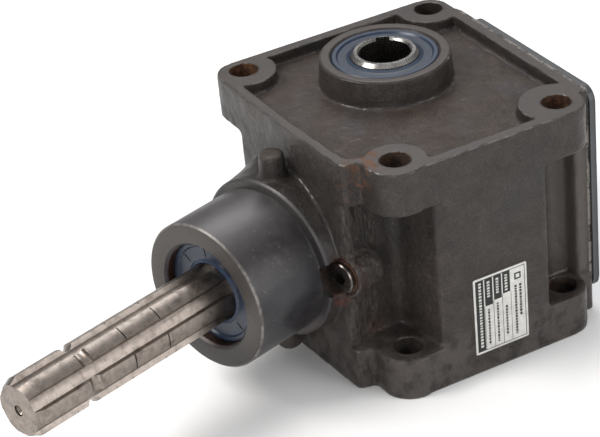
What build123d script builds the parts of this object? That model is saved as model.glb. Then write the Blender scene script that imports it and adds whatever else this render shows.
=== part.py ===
"""Right angle bevel gearbox: cast housing, splined input shaft, hollow output shaft.

Frame: millimetres, +Z up along the hollow output shaft, -Y towards the input snout,
+X towards the nameplate face. The origin is where the input and output axes cross.
"""
import math
import os

from build123d import *

os.makedirs("parts", exist_ok=True)

# ---------------------------------------------------------------- driving dimensions
YAW = 16.5            # input axis, degrees from -Y towards +X

# housing
Z_TOP = 76.0          # plane of the four upper ears
Z_BOT = -70.0         # plane of the four lower ears
Z_UPPER_EAR = 49.0    # underside of the upper ears
Z_LOWER_EAR = -44.4   # top of the lower ears
Z_PAN = 68.5          # floor of the tray between the upper ears
Z_BOSS = 85.6         # machined face of the upper seal boss
BOSS_R = 38.0
X_FAR = -62.1         # far side wall
X_LABEL = 111.8       # nameplate face
Y_FRONT = -83.4       # front wall
Y_REAR = 74.8         # gasket face
EAR_HOLE_R = 8.6
EAR_A = (-49.5, -67.0)
EAR_B = (-49.5, 60.5)
EAR_C = (96.0, 52.5)
EAR_D = (96.0, -53.0)

# input snout, distances along the input axis
SNOUT_FACE = 157.7
SNOUT_R = 44.4
COLLAR_END = 107.5
GROOVE_END = 110.0
COLLAR_R = 48.8
COLLAR_ROOT_R = 51.0
IN_BORE_R = 31.0

# input shaft
SHAFT_END = 294.0
SPLINE_R = 17.43      # 34.87 mm over the teeth
SPLINE_ROOT_R = 14.5
SPLINE_TOOTH = 8.64
SPLINE_START = 163.0
SPLINE_PHASE = 2.7    # degrees, turn of the teeth at rest
LOCK_GROOVE = SHAFT_END - 40.4
LOCK_GROOVE_R = 4.2
SCRIBE_LINES = (201.0, 225.6)   # fine turned rings on the tooth crests
JOURNAL_R = 17.5

# output shaft
OUT_BORE_R = 15.0
OUT_SEAL_R = 20.0
OUT_TOP = 87.0
OUT_BOTTOM = -69.2
OUT_BODY_R = 22.0

# straight bevel pair
MODULE = 3.25
Z_PINION = 17
Z_GEAR = 26
FACE = 15.0
PRESSURE = math.radians(20)

# bearings: bore radius, outer radius, width, ball radius, ball count, pitch radius
BRG_REAR = (15.0, 31.0, 16.0, 4.76, 9, 23.0)
BRG_FRONT = (17.5, 31.0, 14.0, 3.97, 11, 24.25)
BRG_OUT = (20.0, 31.0, 12.0, 3.375, 14, 25.5)
REAR_BRG_S = 56.0     # near face of the bearing beside the pinion
FRONT_BRG_S = 128.0
UP_BRG_Z = 61.9       # lower face of the upper output bearing
LOW_BRG_Z = -59.8     # lower face of the lower output bearing

# rear cover
COVER_X = (-27.0, 95.0)
COVER_Z = (-57.5, 75.0)
GASKET_T = 0.8
COVER_T = 4.6
OPEN_X = (-15.0, 79.0)
OPEN_Z = (-44.0, 54.0)

RUN = 0.08            # running clearance, radial

# ---------------------------------------------------------------- helpers
yaw = math.radians(YAW)
S_DIR = Vector(math.sin(yaw), -math.cos(yaw), 0)
T_DIR = Vector(math.cos(yaw), math.sin(yaw), 0)
IN = Plane(origin=(0, 0, 0), x_dir=T_DIR, z_dir=S_DIR).location   # local z along the input axis, local y up


def rounded(points, closed=True):
    """Face from (x, y, corner radius) points."""
    n = len(points)
    segs = []
    ends = []
    for i in range(n):
        x, y, r = points[i]
        p = Vector(x, y, 0)
        a = Vector(points[i - 1][0], points[i - 1][1], 0)
        b = Vector(points[(i + 1) % n][0], points[(i + 1) % n][1], 0)
        u = (a - p).normalized()
        v = (b - p).normalized()
        if r <= 0:
            ends.append((p, p, None))
            continue
        cosang = max(-1, min(1, u.dot(v)))
        ang = math.acos(cosang)
        d = r / math.tan(ang / 2)
        t0 = p + u * d
        t1 = p + v * d
        c = p + (u + v).normalized() * (r / math.sin(ang / 2))
        m = c + (p - c).normalized() * r
        ends.append((t0, t1, m))
    for i in range(n):
        t0, t1, m = ends[i]
        if m is not None:
            segs.append(ThreePointArc(t0, m, t1))
        nxt = ends[(i + 1) % n][0]
        if (nxt - t1).length > 1e-6:
            segs.append(Line(t1, nxt))
    return make_face(segs)


def slab(face, z0, z1):
    return Pos(0, 0, z0) * extrude(face, z1 - z0)


def rect_slab(x0, x1, y0, y1, z0, z1, r=0.0):
    f = rounded([(x0, y0, r), (x1, y0, r), (x1, y1, r), (x0, y1, r)])
    return slab(f, z0, z1)


def cyl(r, z0, z1, x=0.0, y=0.0):
    return Pos(x, y, z0) * Cylinder(r, z1 - z0, align=(Align.CENTER, Align.CENTER, Align.MIN))


def rev(points):
    """Solid of revolution about Z from (r, z) points."""
    pts = [(p[0], 0, p[1]) for p in points]
    return revolve(make_face(Polyline(*pts, close=True)), Axis.Z)


def torus(major, minor, z):
    return Pos(0, 0, z) * Torus(major, minor)


def polyhedron(lower, upper):
    """Closed solid between two polygons with the same number of points, flat sides."""
    n = len(lower)
    faces = [Face(Wire.make_polygon([Vector(*p) for p in lower])),
             Face(Wire.make_polygon([Vector(*p) for p in upper]))]
    for i in range(n):
        j = (i + 1) % n
        faces.append(Face(Wire.make_polygon([Vector(*lower[i]), Vector(*lower[j]),
                                             Vector(*upper[j]), Vector(*upper[i])])))
    s = Solid(Shell(faces))
    if s.volume < 0:
        s = Solid(s.wrapped.Reversed())
    return s


def hexagon(af, z0, z1):
    r = af / 2 / math.cos(math.pi / 6)
    return slab(rounded([(r * math.cos(math.radians(60 * k)), r * math.sin(math.radians(60 * k)), 0)
                         for k in range(6)]), z0, z1)


OUT = {}


def keep(name, shape):
    OUT[name] = shape


# ---------------------------------------------------------------- housing
def flange_face(rear_right):
    """Outline of one ear flange; rear_right is the Y of its rear edge beside ear C."""
    return rounded([(X_FAR, Y_FRONT, 13.5), (20, Y_FRONT, 60), (84.6, -80.3, 4), (86.2, -70.0, 3),
                    (X_LABEL, -70.0, 15.8), (X_LABEL, rear_right, 15.5), (94.8, rear_right, 1.0), (94.5, Y_REAR, 0.6),
                    (-36, Y_REAR, 3), (-40, 73.4, 3), (X_FAR, 73.4, 12.8)])


MID = [(-31, Y_FRONT + 0.1, 4), (20, Y_FRONT + 0.1, 60), (82.5, -80.3, 5), (76.5, -70, 4), (73, -60, 10),
       (73, -42, 7), (108.6, -38.2, 2.2), (X_LABEL, -31.6, 1.5), (X_LABEL, 33.5, 1.5), (85, 35, 4),
       (85, 63.5, 3), (94.5, 65, 1), (94.5, Y_REAR, 0), (-30.5, Y_REAR, 2), (-30.5, 46, 5), (X_FAR, 44, 4),
       (X_FAR, -49, 4), (-31, -51, 5)]

top_band = slab(flange_face(68.6), Z_UPPER_EAR, Z_TOP) + cyl(17.4, Z_UPPER_EAR, Z_TOP, *EAR_D)
bot_band = slab(flange_face(66.2), Z_BOT, Z_LOWER_EAR) + cyl(16.8, Z_BOT, Z_LOWER_EAR, *EAR_D)
mid = slab(rounded(MID), Z_LOWER_EAR - 6, Z_UPPER_EAR + 6)
housing = top_band + bot_band + mid

# collar and snout on the input axis, with the turned groove between them
snout = rev([(0, 60), (COLLAR_ROOT_R + 1.5, 60), (COLLAR_ROOT_R + 1.5, 82), (COLLAR_ROOT_R, 88), (COLLAR_R, COLLAR_END - 1.2),
             (COLLAR_R - 1.2, COLLAR_END), (SNOUT_R - 0.9, COLLAR_END), (SNOUT_R - 0.9, GROOVE_END - 0.5),
             (SNOUT_R, GROOVE_END), (SNOUT_R, SNOUT_FACE - 1.2), (SNOUT_R - 1.2, SNOUT_FACE), (0, SNOUT_FACE)])
housing += IN * snout
# cast stubs above and below the collar, the lower one webbed back to the wall
STUB_R = 7.4
STUB_TOP = 64.0
STUB_BOTTOM = -63.8
tip = Cone(STUB_R, STUB_R - 1.0, 1.0, align=(Align.CENTER, Align.CENTER, Align.MIN))
housing += IN * (Pos(0, 0, 97.2) * Rot(-90, 0, 0) * (cyl(STUB_R, 40, STUB_TOP - 1) + Pos(0, 0, STUB_TOP - 1) * tip))
housing += IN * (Pos(0, 0, 97.2) * Rot(90, 0, 0) * (cyl(STUB_R, 40, -STUB_BOTTOM - 1) + Pos(0, 0, -STUB_BOTTOM - 1) * tip))
housing += IN * rect_slab(-STUB_R, STUB_R, -61.5, -40, 74, 97.2)
# round boss for the level plug, beside the collar
LEVEL = (50.0, 1.5)
housing += IN * cyl(13.2, 78, 98.5, *LEVEL)
# upper seal boss
housing += rev([(0, 55), (BOSS_R + 1.4, 55), (BOSS_R + 1.4, Z_PAN), (BOSS_R + 0.2, Z_BOSS - 1.0), (BOSS_R - 0.8, Z_BOSS), (0, Z_BOSS)])
# plug bosses on the far side wall
FILLER = (2.0, 38.0)
DRAIN = (-14.0, -48.0)


def far_at(y, z):
    return Plane(origin=(X_FAR, y, z), x_dir=(0, 1, 0), z_dir=(-1, 0, 0)).location


for y, z in (FILLER, DRAIN):
    housing += far_at(y, z) * cyl(13.0, -8, 3.0)

# tray between the upper ears, with round pads left at the corners
tray = rounded([(-55.5, -77.0, 8), (20, -77.0, 0), (80.5, -74.2, 6), (80.5, -66, 4), (105.0, -62, 6), (105.0, 64.5, 8),
                (86, 66.8, 6), (-55.5, 66.8, 8)])
tray_top = slab(tray, Z_PAN, Z_TOP + 1)
for (x, y), r in ((EAR_A, 19.5), (EAR_B, 19.0), (EAR_C, 22.0), (EAR_D, 18.5)):
    tray_top -= cyl(r, Z_PAN - 1, Z_TOP + 2, x, y)
tray_top -= cyl(BOSS_R + 1.0, Z_PAN - 1, Z_TOP + 2)
housing -= tray_top
tray_bot = slab(tray, Z_BOT - 1, Z_BOT + 5.5)
for (x, y), r in ((EAR_A, 19.0), (EAR_B, 19.0), (EAR_C, 18.5), (EAR_D, 18.5)):
    tray_bot -= cyl(r, Z_BOT - 2, Z_BOT + 6.5, x, y)
tray_bot -= cyl(42.0, Z_BOT - 2, Z_BOT + 6.5)
housing -= tray_bot

# gear cavity
CAVITY = [(-23.5, -75.2, 5), (20, -75.2, 0), (66, -73.0, 5), (65.5, -62, 3), (65.5, -34.5, 6), (103.8, -30.5, 7), (103.8, 26.5, 6), (77.5, 26.5, 4),
          (77.5, 62.0, 4), (-23.5, 62.0, 4), (-23.5, 39.5, 4), (-54.5, 37.5, 6), (-54.5, -42.5, 6), (-23.5, -44.5, 4)]
cavity = slab(rounded(CAVITY), -60.0, 58.0)
cavity += Plane(origin=(0, 60, 0), x_dir=(1, 0, 0), z_dir=(0, 1, 0)).location * slab(
    rounded([(OPEN_X[0], -OPEN_Z[1], 12), (OPEN_X[1], -OPEN_Z[1], 12), (OPEN_X[1], -OPEN_Z[0], 12), (OPEN_X[0], -OPEN_Z[0], 12)]), 0, Y_REAR - 60 + 1)
# bearing carriers that stand into the cavity
cavity -= IN * cyl(39.5, REAR_BRG_S - 4, 100)
cavity -= rev([(0, -70), (41, -70), (40, LOW_BRG_Z + 12 + 3.8), (0, LOW_BRG_Z + 12 + 3.8)])
cavity -= cyl(39, 57.9, 70)
housing -= cavity

# bores
SH = 27.0
housing -= IN * rev([(0, 40), (SH, 40), (SH, REAR_BRG_S), (IN_BORE_R, REAR_BRG_S), (IN_BORE_R, 142.05), (33.0, 142.05), (33.0, 144.15),
                     (IN_BORE_R, 144.15), (IN_BORE_R, SNOUT_FACE - 1.9), (IN_BORE_R + 1.9, SNOUT_FACE), (IN_BORE_R + 1.9, SNOUT_FACE + 1), (0, SNOUT_FACE + 1)])
T0 = UP_BRG_Z + 12.0
housing -= rev([(0, 40), (SH, 40), (SH, UP_BRG_Z), (31.0, UP_BRG_Z), (31.0, T0 + 0.05), (33.0, T0 + 0.05), (33.0, T0 + 2.15), (31.0, T0 + 2.15),
                (31.0, Z_BOSS - 1.3), (32.3, Z_BOSS), (32.3, Z_BOSS + 1), (0, Z_BOSS + 1)])
B0 = LOW_BRG_Z
housing -= rev([(0, -40), (SH, -40), (SH, B0 + 12.0), (31.0, B0 + 12.0), (31.0, B0 - 0.05), (33.0, B0 - 0.05), (33.0, B0 - 2.15), (31.0, B0 - 2.15),
                (31.0, Z_BOT + 0.8), (31.8, Z_BOT), (31.8, Z_BOT - 1), (0, Z_BOT - 1)])
# ear holes
for x, y in (EAR_A, EAR_B, EAR_C, EAR_D):
    housing -= cyl(EAR_HOLE_R, Z_BOT - 1, Z_TOP + 1, x, y)
# level plug hole: spot face, thread, and a drilled passage to the cavity
PLUG_R = 7.0
housing -= IN * cyl(10.8, 96.6, 110, *LEVEL)
housing -= IN * cyl(PLUG_R, 82.5, 97, *LEVEL)
passage = IN * (Pos(LEVEL[0], LEVEL[1], 84.5) * Rot(0, -118, 0) * cyl(3.2, 0, 26))
housing -= passage
for y, z in (FILLER, DRAIN):
    housing -= far_at(y, z) * (cyl(PLUG_R, -12, 4) + cyl(10.8, 2.2, 4))
# tapped holes for the cover
SCREWS = [(-21.0, -51.0), (34.0, -51.0), (88.3, -51.0), (-21.0, 7.0), (88.3, 7.0), (-21.0, 61.5), (34.0, 61.5), (88.3, 61.5)]
SCREW_R = 3.0
SCREW_DEPTH = 9.0
HEAD_R = 5.9
HEAD_H = 3.0


def rear_at(x, z, y=Y_REAR):
    return Plane(origin=(x, y, z), x_dir=(1, 0, 0), z_dir=(0, 1, 0)).location


for x, z in SCREWS:
    housing -= rear_at(x, z) * cyl(SCREW_R, -SCREW_DEPTH, 1)
keep("housing", housing)

# ---------------------------------------------------------------- rear cover, gasket, screws
cover_face = rounded([(COVER_X[0], -COVER_Z[1], 9), (COVER_X[1], -COVER_Z[1], 9), (COVER_X[1], -COVER_Z[0], 9), (COVER_X[0], -COVER_Z[0], 9)])
gasket_face = rounded([(COVER_X[0] + .8, -COVER_Z[1] + .8, 8.4), (COVER_X[1] - .8, -COVER_Z[1] + .8, 8.4),
                       (COVER_X[1] - .8, -COVER_Z[0] - .8, 8.4), (COVER_X[0] + .8, -COVER_Z[0] - .8, 8.4)])
open_face = rounded([(OPEN_X[0], -OPEN_Z[1], 12), (OPEN_X[1], -OPEN_Z[1], 12), (OPEN_X[1], -OPEN_Z[0], 12), (OPEN_X[0], -OPEN_Z[0], 12)])
RP = Plane(origin=(0, Y_REAR, 0), x_dir=(1, 0, 0), z_dir=(0, 1, 0)).location    # local y = -Z
cover = slab(cover_face, GASKET_T, GASKET_T + COVER_T)
cover = fillet(cover.faces().sort_by(Axis.Z)[-1].edges(), 1.3)
gasket = slab(gasket_face, 0, GASKET_T) - slab(open_face, -1, 2)
H0 = GASKET_T + COVER_T
for x, z in SCREWS:
    cover -= cyl(SCREW_R + 0.3, -1, 9, x, -z) + cyl(HEAD_R + 0.3, H0 - HEAD_H, 9, x, -z)
    gasket -= cyl(SCREW_R + 0.4, -1, 9, x, -z)
keep("rear_cover", RP * cover)
keep("cover_gasket", RP * gasket)
# cap screws with low heads sunk flush in the cover
screws = []
for x, z in SCREWS:
    s = rev([(0, -SCREW_DEPTH + 1.4), (SCREW_R - 0.5, -SCREW_DEPTH + 1.4), (SCREW_R, -SCREW_DEPTH + 1.9), (SCREW_R, H0 - HEAD_H),
             (HEAD_R, H0 - HEAD_H), (HEAD_R, H0 - 0.5), (HEAD_R - 0.4, H0 - 0.1), (0, H0 - 0.1)])
    screws.append(RP * (Pos(x, -z, 0) * (s - hexagon(4.0, H0 - 2.1, H0 + 1))))
keep("cover_screws", Compound(children=[Solid(s.solid().wrapped) for s in screws]))

# ---------------------------------------------------------------- plugs and washers


def plug(length):
    """Hex socket plug: thread along -z from the flange, flange and socket above."""
    p = rev([(0, -length), (PLUG_R - 0.8, -length), (PLUG_R, -length + 0.8), (PLUG_R, 0), (9.2, 0), (9.2, 2.6), (8.6, 3.2), (0, 3.2)])
    return p - hexagon(7.0, -2.6, 4)


def washer(r=10.2):
    return rev([(PLUG_R, 0), (r, 0), (r, 1.2), (PLUG_R, 1.2)])


keep("level_plug", IN * (Pos(LEVEL[0], LEVEL[1], 97.8) * plug(12.0)))
keep("filler_plug", far_at(*FILLER) * (Pos(0, 0, 3.4) * plug(11.0)))
keep("drain_plug", far_at(*DRAIN) * (Pos(0, 0, 3.4) * plug(11.0)))
keep("plug_washers", Compound(children=[Solid((IN * (Pos(LEVEL[0], LEVEL[1], 96.6) * washer())).solid().wrapped),
                                        Solid((far_at(*FILLER) * (Pos(0, 0, 2.2) * washer())).solid().wrapped),
                                        Solid((far_at(*DRAIN) * (Pos(0, 0, 2.2) * washer())).solid().wrapped)]))

# nameplate: thin plate stuck to the side face
NP_Y = (-18.2, 17.6)
NP_Z = (-57.0, -7.0)
keep("nameplate", Plane(origin=(X_LABEL, 0, 0), x_dir=(0, 1, 0), z_dir=(1, 0, 0)).location * rect_slab(NP_Y[0], NP_Y[1], NP_Z[0], NP_Z[1], 0, 0.5, 1.0))

# ---------------------------------------------------------------- bearings


def bearing(spec, z):
    """Returns inner ring, outer ring, balls and cage of a deep groove ball bearing from z upwards."""
    rb, ro, w, br, n, rp = spec
    zc = z + w / 2
    c = 0.7
    ri_sh = rp - 0.42 * br - 0.9 if br > 3.9 else rp - 2.4
    ro_sh = rp + 0.42 * br + 0.9 if br > 3.9 else rp + 2.4
    inner = rev([(rb, z + c), (rb + c, z), (ri_sh, z), (ri_sh, z + w), (rb + c, z + w), (rb, z + w - c)])
    outer = rev([(ro_sh, z), (ro - c, z), (ro, z + c), (ro, z + w - c), (ro - c, z + w), (ro_sh, z + w)])
    t = torus(rp, br + RUN, zc)
    inner -= t
    outer -= t
    angles = [360 * (k + 0.5) / n for k in range(n)]
    balls = [Rot(0, 0, a) * Pos(rp, 0, zc) * Sphere(br) for a in angles]
    half = 1.15 if br > 3.9 else 0.9
    cw = min(w / 2 - 0.8, br * 1.28)
    cage = rev([(rp - half, zc - cw), (rp + half, zc - cw), (rp + half, zc + cw), (rp - half, zc + cw)])
    for a in angles:
        cage -= Rot(0, 0, a) * Pos(rp - 4, 0, zc) * Rot(0, 90, 0) * cyl(br + 0.15, 0, 8)
    return inner, outer, balls, cage


def keep_bearing(prefix, spec, z, loc):
    inner, outer, balls, cage = bearing(spec, z)
    keep(prefix + "_inner_ring", loc * inner)
    keep(prefix + "_outer_ring", loc * outer)
    keep(prefix + "_balls", Compound(children=[Solid((loc * b).solid().wrapped) for b in balls]))
    keep(prefix + "_cage", loc * cage)


ID = Location((0, 0, 0))
keep_bearing("input_rear_bearing", BRG_REAR, REAR_BRG_S, IN)
keep_bearing("input_front_bearing", BRG_FRONT, FRONT_BRG_S, IN)
keep_bearing("upper_bearing", BRG_OUT, UP_BRG_Z, ID)
keep_bearing("lower_bearing", BRG_OUT, LOW_BRG_Z, ID)

# spacer tube between the outer rings of the input bearings
keep("input_spacer_tube", IN * rev([(27.5, REAR_BRG_S + 16), (IN_BORE_R, REAR_BRG_S + 16), (IN_BORE_R, FRONT_BRG_S), (27.5, FRONT_BRG_S)]))

# ---------------------------------------------------------------- circlips


def inner_circlip(z, t, r_out, r_in, gap_deg=34):
    """Clip for a bore, with two pierced lugs beside its gap."""
    ring = rev([(r_in + 1.2, z), (r_out, z), (r_out, z + t), (r_in + 1.2, z + t)])
    for s in (-1, 1):
        a = math.radians(90 + s * (gap_deg / 2 + 5.5))
        ring += cyl(2.8, z, z + t, (r_in + 2.6) * math.cos(a), (r_in + 2.6) * math.sin(a))
    wedge = slab(rounded([(0, 0, 0), (60 * math.cos(math.radians(90 - gap_deg / 2)), 60 * math.sin(math.radians(90 - gap_deg / 2)), 0),
                          (60 * math.cos(math.radians(90 + gap_deg / 2)), 60 * math.sin(math.radians(90 + gap_deg / 2)), 0)]), z - 1, z + t + 1)
    ring -= wedge
    for s in (-1, 1):
        a = math.radians(90 + s * (gap_deg / 2 + 5.5))
        ring -= cyl(1.3, z - 1, z + t + 1, (r_in + 2.6) * math.cos(a), (r_in + 2.6) * math.sin(a))
    return ring


keep("input_bore_circlip", IN * inner_circlip(142.1, 2.0, 32.95, 27.4))
keep("upper_bore_circlip", inner_circlip(T0 + 0.1, 2.0, 32.95, 27.4))
keep("lower_bore_circlip", inner_circlip(B0 - 2.1, 2.0, 32.95, 27.4))

# ---------------------------------------------------------------- lip seals


def seal(z, w, r_out, r_shaft, flip=False):
    """Lip seal body, outer face at z + w (or at z when flipped), and its garter spring."""
    lip = r_shaft + 0.05
    pts = [(r_out, 0.5), (r_out - 0.5, 0), (r_out - 2.0, 0), (r_out - 2.0, w - 2.2), (lip + 3.4, w - 2.2), (lip + 2.6, w - 3.0), (lip + 2.2, 1.2),
           (lip + 1.0, 0.8), (lip, 2.0), (lip + 0.9, w - 2.4), (lip + 0.9, w - 1.4), (lip + 0.05, w - 0.5), (lip + 0.5, w - 0.2), (lip + 2.4, w - 1.1),
           (r_out - 3.6, w - 1.1), (r_out - 2.6, w), (r_out - 0.5, w), (r_out, w - 0.5)]
    spring_c = (lip + 2.35, 2.1)
    if flip:
        pts = [(r, w - h) for r, h in pts]
        spring_c = (spring_c[0], w - spring_c[1])
    body = rev([(r, z + h) for r, h in pts])
    spring = torus(spring_c[0], 0.75, z + spring_c[1])
    body -= torus(spring_c[0], 0.78, z + spring_c[1])
    return body, spring


for name, args, loc in (("input_seal", (144.6, 7.0, IN_BORE_R, JOURNAL_R), IN),
                        ("upper_seal", (Z_BOSS - 7.7, 7.0, 31.0, OUT_SEAL_R), ID),
                        ("lower_seal", (B0 - 2.25 - 7.0, 7.0, 31.0, OUT_SEAL_R, True), ID)):
    body, spring = seal(*args)
    keep(name, loc * body)
    keep(name + "_spring", loc * spring)

# ---------------------------------------------------------------- bevel pair
d1 = math.atan(Z_PINION / Z_GEAR)
d2 = math.pi / 2 - d1
R1 = MODULE * Z_PINION / 2
R2 = MODULE * Z_GEAR / 2
CONE = math.hypot(R1, R2)
CONE_I = CONE - FACE
HA, HF = MODULE, 1.25 * MODULE
A_ANG, F_ANG = math.atan(HA / CONE), math.atan(HF / CONE)
BACKLASH = 0.26       # mm, split between the two gears at the heel


def gap_tools(z, delta, start, z0, z1):
    """Flat sided tooth spaces running to the cone apex; local gear axis +z."""
    base = math.asin(math.cos(PRESSURE) * math.sin(delta))

    def inv(th):
        th = max(th, base + 1e-9)
        return math.acos(min(1, math.cos(th) / math.cos(base))) / math.sin(base) - math.acos(min(1, math.tan(base) / math.tan(th)))

    tp = math.pi / (2 * z) - BACKLASH / 4 / (CONE * math.sin(delta))
    th_f, th_a = delta - F_ANG, delta + A_ANG + 0.02
    ths = [th_f + (th_a - th_f) * k / 8 for k in range(9)]
    right = []
    for th in ths:
        half = math.pi / z - (tp + inv(delta) - inv(th))
        right.append((math.tan(th), half))
    right[0] = (right[0][0], right[0][1] * 0.72)
    right.insert(1, (math.tan(th_f + (th_a - th_f) * 0.06), right[1][1] * 0.985))
    prof = [(rho, -a) for rho, a in reversed(right)] + right
    tools = []
    for k in range(z):
        a0 = start + 2 * math.pi * k / z
        lo = [(rho * z0 * math.cos(a0 + a), rho * z0 * math.sin(a0 + a), z0) for rho, a in prof]
        hi = [(rho * z1 * math.cos(a0 + a), rho * z1 * math.sin(a0 + a), z1) for rho, a in prof]
        tools.append(polyhedron(lo, hi))
    return tools


def blank(delta):
    """Corner points (r, z) of a bevel blank: tip at toe and heel, foot of the back cone, foot of the toe."""
    s, c = math.sin(delta), math.cos(delta)
    ha_i = HA * CONE_I / CONE
    hf_i = HF * CONE_I / CONE
    tip_toe = (CONE_I * s + ha_i * c, CONE_I * c - ha_i * s)
    tip_heel = (CONE * s + HA * c, CONE * c - HA * s)
    back = (CONE * s - (HF + 1.5) * c, CONE * c + (HF + 1.5) * s)
    root_toe = (CONE_I * s - (hf_i + 0.8) * c, CONE_I * c + (hf_i + 0.8) * s)
    return tip_toe, tip_heel, back, root_toe


tt, th, bk, rt = blank(d1)
PIN_BORE = 12.5
PIN_TOE = tt[1] - 0.3
pinion = rev([(PIN_BORE + 0.6, PIN_TOE), (rt[0] - 0.5, PIN_TOE), (rt[0] - 0.2, rt[1]), tt, th, bk, (21.0, bk[1] + 1.5), (21.0, REAR_BRG_S - 0.8),
              (20.2, REAR_BRG_S), (PIN_BORE + 0.6, REAR_BRG_S), (PIN_BORE, REAR_BRG_S - 0.6), (PIN_BORE, PIN_TOE + 0.6)])
for t in gap_tools(Z_PINION, d1, -math.pi / 2 + math.pi / Z_PINION, 12.0, 56.0):
    pinion -= t
KEY_W, KEY_H = 8.0, 7.0
# keyway in the pinion, open at its back face
pinion -= rect_slab(-KEY_W / 2, KEY_W / 2, 0, PIN_BORE + 3.3, 38.0, REAR_BRG_S + 1)
keep("bevel_pinion", IN * pinion)
keep("pinion_key", IN * rect_slab(-KEY_W / 2, KEY_W / 2, PIN_BORE - 4.0, PIN_BORE + 3.0, 38.4, REAR_BRG_S - 1.0))

tt2, th2, bk2, rt2 = blank(d2)
GEAR_BORE = 22.0
GEAR_HUB_TOP = 20.6   # below the input axis
GEAR_BACK = 42.0
gear = rev([(GEAR_BORE + 0.6, GEAR_HUB_TOP), (rt2[0] - 1.6, GEAR_HUB_TOP), (rt2[0] - 0.4, rt2[1] + 0.6), tt2, th2, bk2, (bk2[0] - 0.4, 36.6), (bk2[0] - 1.0, 37.2),
            (33.0, 38.4), (32.0, GEAR_BACK - 0.8), (31.2, GEAR_BACK), (GEAR_BORE + 0.6, GEAR_BACK), (GEAR_BORE, GEAR_BACK - 0.6), (GEAR_BORE, GEAR_HUB_TOP + 0.6)])
for t in gap_tools(Z_GEAR, d2, 0.0, 8.0, 40.0):
    gear -= t
# two opposite keyways
for s in (-1, 1):
    gear -= rect_slab(-5, 5, s * (GEAR_BORE - 3) if s > 0 else -(GEAR_BORE + 2.4), s * (GEAR_BORE + 2.4) if s > 0 else -(GEAR_BORE - 3), GEAR_HUB_TOP - 1, GEAR_BACK + 1)
DOWN = Plane(origin=(0, 0, 0), x_dir=S_DIR, z_dir=(0, 0, -1)).location
keep("bevel_gear", DOWN * gear)
keys = []
for s in (-1, 1):
    y0, y1 = sorted((s * (GEAR_BORE - 3.4), s * (GEAR_BORE + 2.3)))
    keys.append(Solid((DOWN * rect_slab(-5, 5, y0, y1, 22.0, 41.0)).solid().wrapped))
keep("gear_keys", Compound(children=keys))

# ---------------------------------------------------------------- input shaft
END = SHAFT_END
CH = 5.2
shaft = rev([(0, 25.2), (11.7, 25.2), (12.5, 26.0), (12.5, REAR_BRG_S), (15.0, REAR_BRG_S), (15.0, REAR_BRG_S + 16.0), (18.5, REAR_BRG_S + 16.0),
             (20.0, REAR_BRG_S + 17.5), (20.0, FRONT_BRG_S - 3.0), (18.6, FRONT_BRG_S), (JOURNAL_R, FRONT_BRG_S), (JOURNAL_R, 155.0), (SPLINE_R, 156.5),
             (SPLINE_R, END - CH), (SPLINE_R - 0.25, END - CH + 0.3), (15.0, END), (0, END)])
teeth = None
for k in range(6):
    box = Rot(0, 0, 60 * k + SPLINE_PHASE) * rect_slab(0, 20, -SPLINE_TOOTH / 2, SPLINE_TOOTH / 2, 140, END + 2)
    teeth = box if teeth is None else teeth + box
ARC_R = 34.0
run0 = SPLINE_START
arc_pts = []
for k in range(0, 9):
    h = (SPLINE_R + 0.6 - SPLINE_ROOT_R) * (k / 8) ** 2
    arc_pts.append((SPLINE_ROOT_R + h, run0 - math.sqrt(max(0, ARC_R ** 2 - (ARC_R - h) ** 2))))
outside = rev([(SPLINE_ROOT_R, END + 2)] + arc_pts + [(24, arc_pts[-1][1]), (24, END + 2)])
shaft -= (outside - teeth)
shaft -= torus(SPLINE_ROOT_R + 0.1 + LOCK_GROOVE_R, LOCK_GROOVE_R, LOCK_GROOVE)
for z in SCRIBE_LINES:
    shaft -= rev([(SPLINE_R - 0.22, z), (20, z - 2.5), (20, z + 2.5)]) & cyl(SPLINE_R + 0.6, z - 0.45, z + 0.45)
# centre holes
shaft -= rev([(0, END - 9), (1.6, END - 8), (1.6, END - 4.2), (3.3, END - 1.2), (3.3, END + 1), (0, END + 1)])
shaft -= rev([(0, 24), (3.0, 24), (3.0, 25.8), (1.4, 28.6), (0, 30)])
# pinion keyway and circlip groove
shaft -= rect_slab(-KEY_W / 2, KEY_W / 2, PIN_BORE - 4.0, PIN_BORE + 4, 38.4, REAR_BRG_S - 1.0)
CL = PIN_TOE - 1.25
shaft -= (cyl(14, CL, CL + 1.25) - cyl(11.7, CL - 1, CL + 3))
keep("input_shaft", IN * shaft)
clip = rev([(11.75, CL + 0.02), (15.0, CL + 0.02), (15.0, CL + 1.22), (11.75, CL + 1.22)])
clip -= slab(rounded([(0, 0, 0), (30, -9, 0), (30, 9, 0)]), CL - 1, CL + 3)
keep("pinion_circlip", IN * clip)

# ---------------------------------------------------------------- hollow output shaft
out = rev([(OUT_BORE_R, OUT_BOTTOM + 1.0), (OUT_BORE_R + 1.0, OUT_BOTTOM), (OUT_SEAL_R - 1.6, OUT_BOTTOM), (OUT_SEAL_R, OUT_BOTTOM + 1.6), (OUT_SEAL_R, -42.0),
           (OUT_BODY_R, -42.0), (OUT_BODY_R, -GEAR_HUB_TOP), (24.2, -GEAR_HUB_TOP), (24.2, -16.5), (OUT_BODY_R, -14.5), (OUT_BODY_R, 50.0), (23.4, 52.0), (23.4, UP_BRG_Z),
           (OUT_SEAL_R, UP_BRG_Z), (OUT_SEAL_R, OUT_TOP - 2.0), (OUT_SEAL_R - 2.0, OUT_TOP), (OUT_BORE_R + 1.1, OUT_TOP), (OUT_BORE_R, OUT_TOP - 1.1)])
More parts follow.
